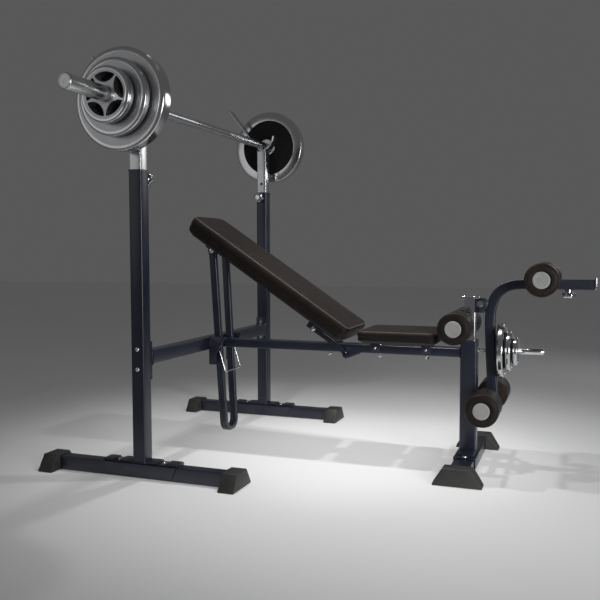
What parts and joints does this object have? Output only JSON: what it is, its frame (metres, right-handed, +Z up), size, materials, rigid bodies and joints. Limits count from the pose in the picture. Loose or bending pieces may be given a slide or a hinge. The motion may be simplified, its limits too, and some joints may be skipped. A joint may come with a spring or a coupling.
{
  "type": "adjustable weight bench",
  "caption": "Weight bench with telescopic barbell rack, loaded bar, propped incline backrest, seat, and a swinging leg developer with foam rollers and weight peg",
  "frame": {"origin": "centre of the underside of the bounding box, on the floor", "axes": "+X along the bench from the rack to the leg developer, +Y along the barbell to the far side, +Z up from the floor"},
  "size_m": [1.886, 1.89, 1.4719],
  "materials": {
    "frame_paint": "semi-gloss very dark navy powder coat",
    "chrome": "bright chrome plate",
    "steel": "satin turned steel with polished rims",
    "upholstery": "dark brown satin vinyl leather",
    "board": "plain plywood, out of sight under the pads",
    "rubber": "matt charcoal rubber"
  },
  "bodies": {
    "frame": {"uprights": "frame_paint", "saddles": "frame_paint", "stabilisers": "frame_paint", "rack_foot_caps": "rubber", "crossbar": "frame_paint", "gusset_plates": "frame_paint", "rubber_buffer": "rubber", "main_tube": "frame_paint", "front_leg": "frame_paint", "front_foot": "frame_paint", "foot_sleeve": "frame_paint", "front_foot_caps": "rubber", "leg_post": "chrome", "post_brackets": "frame_paint", "seat_axle": "chrome", "lever_stop": "chrome", "lever_bolt": "chrome", "hinge_lugs": "frame_paint", "hinge_pin": "chrome", "seat_pad": "upholstery", "seat_board": "board", "seat_brackets": "frame_paint", "frame_bolts": "chrome", "deck_bolts": "chrome"},
    "riser_near": {"inner_tube_near": "chrome", "cradle_near": "chrome"},
    "riser_far": {"inner_tube_far": "chrome", "cradle_far": "chrome"},
    "lock_near": {"knob_near": "chrome"},
    "lock_far": {"knob_far": "chrome"},
    "barbell": {"bar_shaft": "chrome"},
    "sleeve_set_near": {"sleeve_near": "chrome", "large_plate_near": "steel", "middle_plate_near": "steel", "small_plate_near": "steel"},
    "sleeve_set_far": {"sleeve_far": "chrome", "large_plate_far": "steel", "middle_plate_far": "steel", "small_plate_far": "steel"},
    "backrest": {"backrest_pad": "upholstery", "backrest_board": "board", "backrest_brackets": "frame_paint", "hinge_arms": "frame_paint", "arm_bolts": "chrome", "prop_bolt": "chrome"},
    "prop_loop": {"prop": "frame_paint"},
    "prop_bail": {"bail": "chrome"},
    "lever": {"lever_arm": "frame_paint", "arm_axles": "chrome", "weight_peg": "chrome"},
    "peg_weights": {"peg_plates": "steel"},
    "arm_lock": {"arm_knob": "chrome"},
    "arm_extension": {"arm_insert": "chrome"},
    "roll_seat_near": {"seat_roller_near": "upholstery"},
    "roll_seat_far": {"seat_roller_far": "upholstery"},
    "roll_upper_near": {"upper_roller_near": "upholstery"},
    "roll_upper_far": {"upper_roller_far": "upholstery"},
    "roll_lower_near": {"lower_roller_near": "upholstery"},
    "roll_lower_far": {"lower_roller_far": "upholstery"}
  },
  "joints": [
    {"name": "upright_near_slide", "type": "slide", "parent": "frame", "child": "riser_near", "axis": [0, 0, 1], "range_m": [-0.067, 0.201]},
    {"name": "upright_far_slide", "type": "slide", "parent": "frame", "child": "riser_far", "axis": [0, 0, 1], "range_m": [-0.067, 0.201]},
    {"name": "knob_near_turn", "type": "hinge", "parent": "frame", "child": "lock_near", "pos_m": [-0.549, -0.5, 1.05], "axis": [0, 1, 0], "continuous": true},
    {"name": "knob_far_turn", "type": "hinge", "parent": "frame", "child": "lock_far", "pos_m": [-0.549, 0.5, 1.05], "axis": [0, 1, 0], "continuous": true},
    {"name": "barbell_lift", "type": "slide", "parent": "riser_near", "child": "barbell", "axis": [0, 0, 1], "range_m": [0, 0.2]},
    {"name": "sleeve_near_spin", "type": "hinge", "parent": "barbell", "child": "sleeve_set_near", "pos_m": [-0.549, -0.76, 1.299], "axis": [0, 1, 0], "continuous": true},
    {"name": "sleeve_far_spin", "type": "hinge", "parent": "barbell", "child": "sleeve_set_far", "pos_m": [-0.549, 0.76, 1.299], "axis": [0, 1, 0], "continuous": true},
    {"name": "backrest_tilt", "type": "hinge", "parent": "frame", "child": "backrest", "pos_m": [0.043, 0, 0.396], "axis": [0, 1, 0], "range_deg": [-4, 8]},
    {"name": "prop_swing", "type": "hinge", "parent": "backrest", "child": "prop_loop", "pos_m": [-0.514, 0, 0.8], "axis": [0, 1, 0], "range_deg": [-5, 0]},
    {"name": "bail_swing", "type": "hinge", "parent": "prop_loop", "child": "prop_bail", "pos_m": [-0.48151, 0, 0.39377], "axis": [0, -1, 0], "range_deg": [0, 25]},
    {"name": "lever_swing", "type": "hinge", "parent": "frame", "child": "lever", "pos_m": [0.549, 0, 0.603], "axis": [0, -1, 0], "range_deg": [0, 55]},
    {"name": "peg_weights_slide", "type": "slide", "parent": "lever", "child": "peg_weights", "axis": [1, 0, 0], "range_m": [0, 0.085]},
    {"name": "arm_knob_turn", "type": "hinge", "parent": "lever", "child": "arm_lock", "pos_m": [0.851, 0, 0.64], "axis": [0, 0, 1], "continuous": true},
    {"name": "arm_insert_slide", "type": "slide", "parent": "lever", "child": "arm_extension", "axis": [1, 0, 0], "range_m": [0, 0.06]},
    {"name": "seat_roller_near_spin", "type": "hinge", "parent": "frame", "child": "roll_seat_near", "pos_m": [0.474, -0.102, 0.522], "axis": [0, 1, 0], "continuous": true},
    {"name": "seat_roller_far_spin", "type": "hinge", "parent": "frame", "child": "roll_seat_far", "pos_m": [0.474, 0.102, 0.522], "axis": [0, 1, 0], "continuous": true},
    {"name": "upper_roller_near_spin", "type": "hinge", "parent": "lever", "child": "roll_upper_near", "pos_m": [0.766, -0.102, 0.697], "axis": [0, 1, 0], "continuous": true},
    {"name": "upper_roller_far_spin", "type": "hinge", "parent": "lever", "child": "roll_upper_far", "pos_m": [0.766, 0.102, 0.697], "axis": [0, 1, 0], "continuous": true},
    {"name": "lower_roller_near_spin", "type": "hinge", "parent": "lever", "child": "roll_lower_near", "pos_m": [0.582, -0.165, 0.252], "axis": [0, 1, 0], "continuous": true},
    {"name": "lower_roller_far_spin", "type": "hinge", "parent": "lever", "child": "roll_lower_far", "pos_m": [0.582, 0.165, 0.252], "axis": [0, 1, 0], "continuous": true}
  ],
  "couplings": [
    {"joint": "upright_far_slide", "follows": "upright_near_slide", "ratio": 1}
  ]
}
